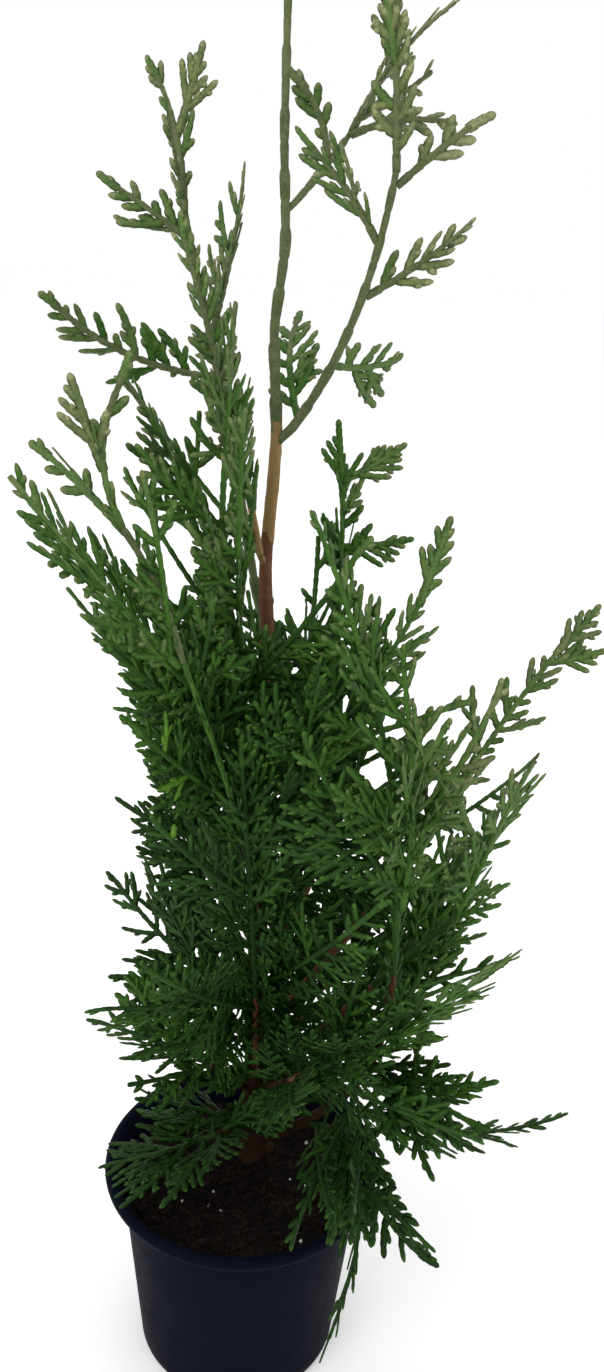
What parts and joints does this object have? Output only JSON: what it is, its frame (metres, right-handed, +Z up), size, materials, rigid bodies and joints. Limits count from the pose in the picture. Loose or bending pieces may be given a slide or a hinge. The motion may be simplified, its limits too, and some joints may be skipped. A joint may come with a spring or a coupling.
{
  "type": "potted green giant arborvitae",
  "caption": "Young upright conifer with flat scaly fronds on ascending boughs, growing in a round tapered nursery pot filled with potting soil.",
  "frame": {"origin": "centre of the pot's flat underside", "axes": "+Z up along the trunk, +X to the right and +Y to the back as the plant is seen from its front"},
  "size_m": [0.2461, 0.2583, 0.6528],
  "materials": {
    "pot": "moulded plastic, navy black, slightly glossy, a little dust",
    "soil": "damp bark and peat mix with a few pale grains",
    "bark": "thin reddish-brown bark with fine ridges",
    "foliage": "flat sprays of overlapping scale leaves, dark green with lighter tips"
  },
  "bodies": {
    "root": {"pot": "pot", "soil": "soil", "trunk": "bark", "bough_front_left": "bark", "bough_front_left_upper": "bark", "bough_left_tall": "bark", "bough_left_middle": "bark", "bough_upper_right": "bark", "bough_leader_side": "bark", "bough_right_back": "bark", "bough_right_front": "bark", "bough_far_right": "bark", "bough_right": "bark", "bough_back_left": "bark", "leader_tip": "foliage", "leader_side_tip": "foliage", "leader_side_left": "foliage", "leader_side_right": "foliage", "upper_right_tip": "foliage", "upper_right_high": "foliage", "upper_right_low": "foliage", "upper_right_left": "foliage", "fork_right": "foliage", "fork_sprig": "foliage", "left_tall_tip": "foliage", "left_tall_high": "foliage", "left_tall_inner": "foliage", "left_tall_outer": "foliage", "left_tall_lower": "foliage", "left_green": "foliage", "left_middle_front": "foliage", "far_left_fan": "foliage", "front_left_tip": "foliage", "left_outer": "foliage", "front_left_inner": "foliage", "front_left_outer": "foliage", "centre_front": "foliage", "left_dark": "foliage", "front_low_left": "foliage", "front_low_right": "foliage", "low_left_light": "foliage", "low_left_long": "foliage", "low_left_up": "foliage", "droop_left": "foliage", "right_back_tip": "foliage", "right_dark": "foliage", "right_front_tip": "foliage", "right_front_side": "foliage", "far_right_tip": "foliage", "right_tip": "foliage", "right_middle": "foliage", "right_low": "foliage", "right_low_front": "foliage", "right_far_low": "foliage", "droop_front_right": "foliage", "droop_right": "foliage", "back_left_tip": "foliage", "back_left_low": "foliage", "back_right_tip": "foliage", "back_low": "foliage"}
  },
  "joints": []
}
